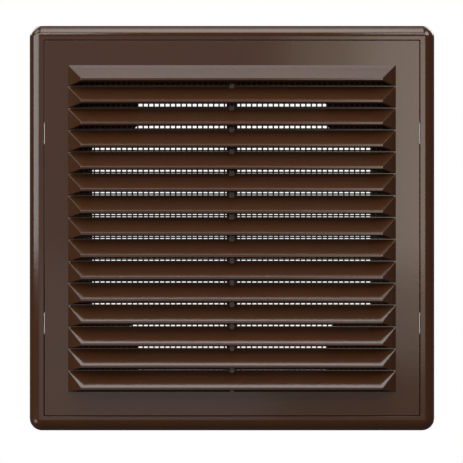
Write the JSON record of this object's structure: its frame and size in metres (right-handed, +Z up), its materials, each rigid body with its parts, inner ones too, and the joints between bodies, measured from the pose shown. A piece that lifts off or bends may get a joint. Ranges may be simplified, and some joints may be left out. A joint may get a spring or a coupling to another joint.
{
  "type": "ventilation grille",
  "caption": "Square wall ventilation grille with fixed hood louvres in a lift-off panel, an insect screen behind them and a wall frame with screw holes.",
  "frame": {"origin": "centre of the duct opening on the wall plane, the back of the frame", "axes": "+X to the right seen from the front, +Y into the wall, +Z up; the louvres face -Y"},
  "size_m": [0.187, 0.0191, 0.187],
  "materials": {
    "frame_plastic": "glossy moulded dark brown",
    "louvre_plastic": "glossy moulded dark brown",
    "net_plastic": "dull dark net",
    "clamp_plastic": "dull dark moulding"
  },
  "bodies": {
    "frame": {"base_frame": "frame_plastic"},
    "panel": {"louvre_panel": "louvre_plastic", "insect_screen": "net_plastic", "screen_clamp": "clamp_plastic"}
  },
  "joints": [
    {"name": "panel_lift_off", "type": "slide", "parent": "frame", "child": "panel", "axis": [0, -1, 0], "range_m": [0, 0.04]}
  ]
}
